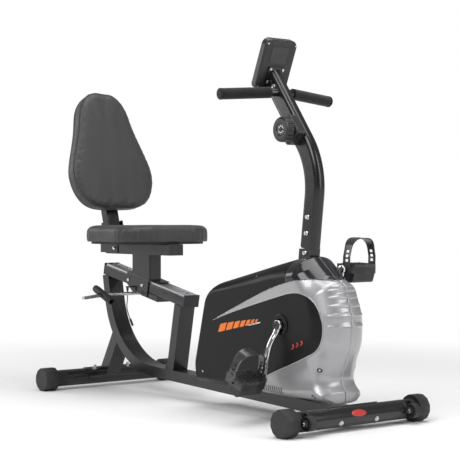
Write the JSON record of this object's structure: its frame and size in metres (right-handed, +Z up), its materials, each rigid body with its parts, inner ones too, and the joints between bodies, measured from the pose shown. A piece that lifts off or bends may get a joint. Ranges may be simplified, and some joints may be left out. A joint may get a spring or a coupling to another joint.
{
  "type": "exercise bike",
  "caption": "Recumbent magnetic exercise bike: sliding seat with tall backrest on a bent tube frame, enclosed belt drive with flywheel, pedals, tension knob, console.",
  "frame": {"origin": "on the floor under the middle of the whole bike's bounding box", "axes": "+X from the backrest towards the console and flywheel housing, +Y the rider's left, +Z up"},
  "size_m": [1.4446, 0.56, 1.1582],
  "materials": {
    "black_frame": "satin black powder coat",
    "track_aluminium": "extruded, satin",
    "black_rubber": "matte",
    "zinc_steel": "bright zinc plate",
    "machined_steel": "machined",
    "crank_chrome": "chrome plate",
    "flywheel_iron": "painted, machined rim",
    "belt_rubber": "ribbed",
    "shroud_black": "satin moulded",
    "nose_silver": "metallic silver paint",
    "collar_gloss": "dark gloss",
    "foam_black": "closed-cell foam",
    "pedal_plastic": "moulded",
    "strap_plastic": "flexible moulded",
    "console_plastic": "semi gloss",
    "key_grey": "light grey moulded",
    "lens_clear": "clear",
    "board_green": "circuit board",
    "board_wood": "dark stained plywood",
    "seat_leatherette": "dark grey grained",
    "pulley_plastic": "glass-filled nylon",
    "magnet_grey": "nickel plate",
    "cable_black": "matte jacket"
  },
  "bodies": {
    "frame": {"main_frame": "black_frame", "seat_rail": "black_frame", "rail_track": "track_aluminium", "rail_end_caps": "black_rubber", "stabilizers": "black_frame", "end_caps": "black_rubber", "stabilizer_bolts": "zinc_steel", "mast": "black_frame", "bearings_and_pins": "machined_steel", "drive_brackets": "zinc_steel", "magnet_spring": "machined_steel", "drive_belt": "belt_rubber", "shroud_right": "shroud_black", "shroud_left": "shroud_black", "nose_right": "nose_silver", "nose_left": "nose_silver", "post_collar": "collar_gloss", "hub_rings": "shroud_black", "console_post": "black_frame", "handlebar": "black_frame", "handle_grips": "foam_black", "frame_screws": "zinc_steel", "console_back": "console_plastic", "console_front": "console_plastic", "lcd_lens": "lens_clear", "key_panel": "key_grey", "electronics": "board_green", "battery_cover": "console_plastic", "tension_base": "console_plastic"},
    "wheel_right": {"transport_wheel_right": "black_rubber"},
    "wheel_left": {"transport_wheel_left": "black_rubber"},
    "crank": {"crank_shafts": "machined_steel", "crank_pulley": "pulley_plastic", "crank_arm_right": "crank_chrome", "crank_arm_left": "crank_chrome"},
    "pedal_right": {"pedal_right": "pedal_plastic", "pedal_strap_right": "strap_plastic"},
    "pedal_left": {"pedal_left": "pedal_plastic", "pedal_strap_left": "strap_plastic"},
    "flywheel": {"flywheel": "flywheel_iron", "flywheel_pulley": "machined_steel"},
    "idler": {"idler_wheel": "pulley_plastic"},
    "magnet_arm": {"magnet_arm": "zinc_steel", "brake_magnets": "magnet_grey"},
    "knob": {"tension_knob": "console_plastic"},
    "mode_button": {"mode_button": "console_plastic"},
    "reset_button": {"reset_button": "console_plastic"},
    "seat": {"seat_mount": "black_frame", "seat_bracket": "black_frame", "back_tube": "black_frame", "seat_fasteners": "zinc_steel", "pad_boards": "board_wood", "seat_pad": "seat_leatherette", "back_pad": "seat_leatherette", "clamp_block": "black_frame", "lead_anchor": "black_rubber", "hanging_lead": "cable_black", "lead_connector": "cable_black"},
    "lever": {"seat_lever": "zinc_steel", "lever_grip": "black_rubber"}
  },
  "joints": [
    {"name": "crank_spin", "type": "hinge", "parent": "frame", "child": "crank", "pos_m": [0.44305, 0, 0.29], "axis": [0, 1, 0], "continuous": true},
    {"name": "pedal_right_spin", "type": "hinge", "parent": "crank", "child": "pedal_right", "pos_m": [0.40683, -0.18, 0.12902], "axis": [0, 1, 0], "continuous": true},
    {"name": "pedal_left_spin", "type": "hinge", "parent": "crank", "child": "pedal_left", "pos_m": [0.47927, 0.18, 0.45098], "axis": [0, 1, 0], "continuous": true},
    {"name": "flywheel_spin", "type": "hinge", "parent": "frame", "child": "flywheel", "pos_m": [0.17105, 0, 0.235], "axis": [0, 1, 0], "continuous": true},
    {"name": "idler_spin", "type": "hinge", "parent": "frame", "child": "idler", "pos_m": [0.29204, 0.046, 0.18079], "axis": [0, 1, 0], "continuous": true},
    {"name": "tension_turn", "type": "hinge", "parent": "frame", "child": "knob", "pos_m": [0.42905, -0.06, 0.871], "axis": [0, -1, 0], "range_deg": [0, 280]},
    {"name": "magnet_arm_swing", "type": "hinge", "parent": "frame", "child": "magnet_arm", "pos_m": [0.29403, 0, 0.306], "axis": [0, 1, 0], "range_deg": [-2.5, 0.1]},
    {"name": "mode_button_press", "type": "slide", "parent": "frame", "child": "mode_button", "axis": [0.9212, 0, -0.3891], "range_m": [0, 0.0015], "stiffness_N_per_m": 400, "springref_m": -0.002},
    {"name": "reset_button_press", "type": "slide", "parent": "frame", "child": "reset_button", "axis": [0.9212, 0, -0.3891], "range_m": [0, 0.0015], "stiffness_N_per_m": 400, "springref_m": -0.002},
    {"name": "seat_slide", "type": "slide", "parent": "frame", "child": "seat", "axis": [0.981, 0, -0.1942], "range_m": [-0.085, 0.09]},
    {"name": "seat_lever_turn", "type": "hinge", "parent": "seat", "child": "lever", "pos_m": [-0.37126, -0.1, 0.34727], "axis": [0, 1, 0], "range_deg": [0, 40]},
    {"name": "wheel_right_spin", "type": "hinge", "parent": "frame", "child": "wheel_right", "pos_m": [0.70105, -0.205, 0.0395], "axis": [0, 1, 0], "continuous": true},
    {"name": "wheel_left_spin", "type": "hinge", "parent": "frame", "child": "wheel_left", "pos_m": [0.70105, 0.205, 0.0395], "axis": [0, 1, 0], "continuous": true}
  ],
  "couplings": [
    {"joint": "flywheel_spin", "follows": "crank_spin", "ratio": 8},
    {"joint": "idler_spin", "follows": "crank_spin", "ratio": -9.0769},
    {"joint": "magnet_arm_swing", "follows": "tension_turn", "ratio": -0.0089286}
  ]
}
